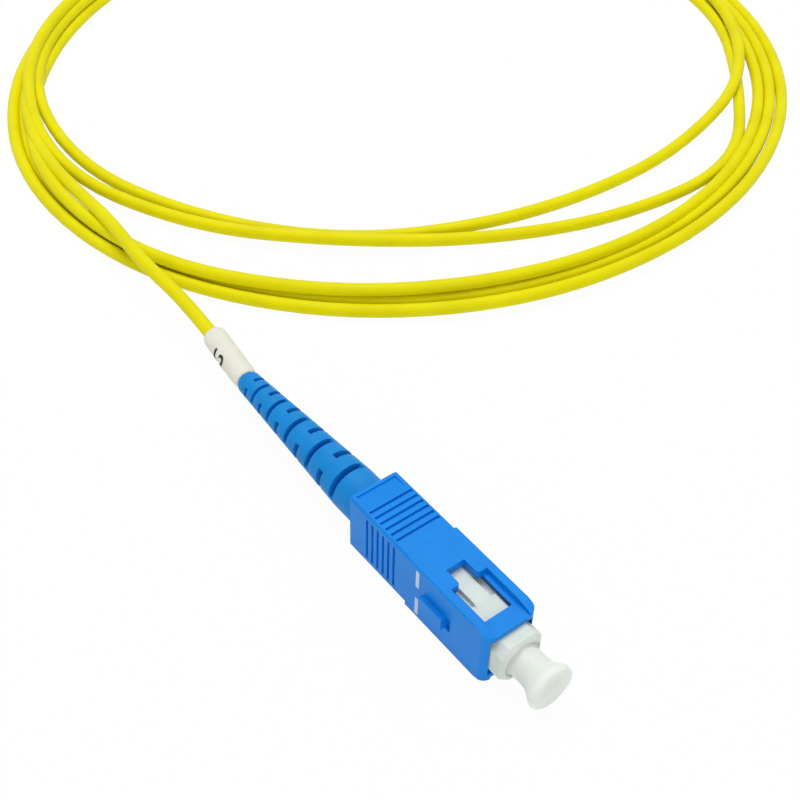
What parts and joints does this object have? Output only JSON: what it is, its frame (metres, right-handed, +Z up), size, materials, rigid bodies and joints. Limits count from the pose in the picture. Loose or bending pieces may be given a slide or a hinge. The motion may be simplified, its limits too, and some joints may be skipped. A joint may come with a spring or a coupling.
{
  "type": "simplex fibre optic connector with cord",
  "caption": "Push-pull simplex fibre connector with a sliding square grip, sprung ferrule, dust cap and segmented boot, on a coiled 2 mm cord",
  "frame": {"origin": "on the lower face of the grip housing's front section, under the plug's axis", "axes": "+X along the plug towards the ferrule's tip, +Z up through the window's face, the key is on the -Y side"},
  "size_m": [0.1817, 0.1464, 0.009],
  "materials": {
    "blue_grip": "moulded blue plastic, satin",
    "white_housing": "moulded white plastic",
    "zirconia": "ground white zirconia",
    "flange_metal": "nickel-plated, turned",
    "spring_steel": "bright wire",
    "brass_barrel": "nickel-plated, knurled",
    "crimp_metal": "plain drawn sleeve",
    "yarn": "aramid yarn",
    "yellow_jacket": "soft satin jacket",
    "buffer": "tight buffer",
    "glass_core": "optical glass",
    "blue_boot": "soft moulded elastomer",
    "ivory_marker": "satin sleeve with a printed numeral",
    "frosted_cap": "translucent soft plastic"
  },
  "bodies": {
    "plug": {"inner_housing": "white_housing", "rear_body": "brass_barrel", "crimp_sleeve": "crimp_metal", "aramid_yarn": "yarn", "cord_jacket": "yellow_jacket", "boot": "blue_boot", "marker_sleeve": "ivory_marker", "cord_lead": "yellow_jacket", "cord_coil": "yellow_jacket", "ferrule_spring": "spring_steel"},
    "grip": {"grip_housing": "blue_grip"},
    "ferrule_body": {"ferrule": "zirconia", "ferrule_flange": "flange_metal", "glass_fibre": "glass_core", "buffered_fibre": "buffer"},
    "cap": {"dust_cap": "frosted_cap"}
  },
  "joints": [
    {"name": "grip_slide", "type": "slide", "parent": "plug", "child": "grip", "axis": [-1, 0, 0], "range_m": [0, 0.002]},
    {"name": "ferrule_slide", "type": "slide", "parent": "plug", "child": "ferrule_body", "axis": [-1, 0, 0], "range_m": [0, 0.0015], "stiffness_N_per_m": 1200, "deforming": ["ferrule_spring"]},
    {"name": "cap_pull", "type": "slide", "parent": "ferrule_body", "child": "cap", "axis": [1, 0, 0], "range_m": [0, 0.006]}
  ]
}
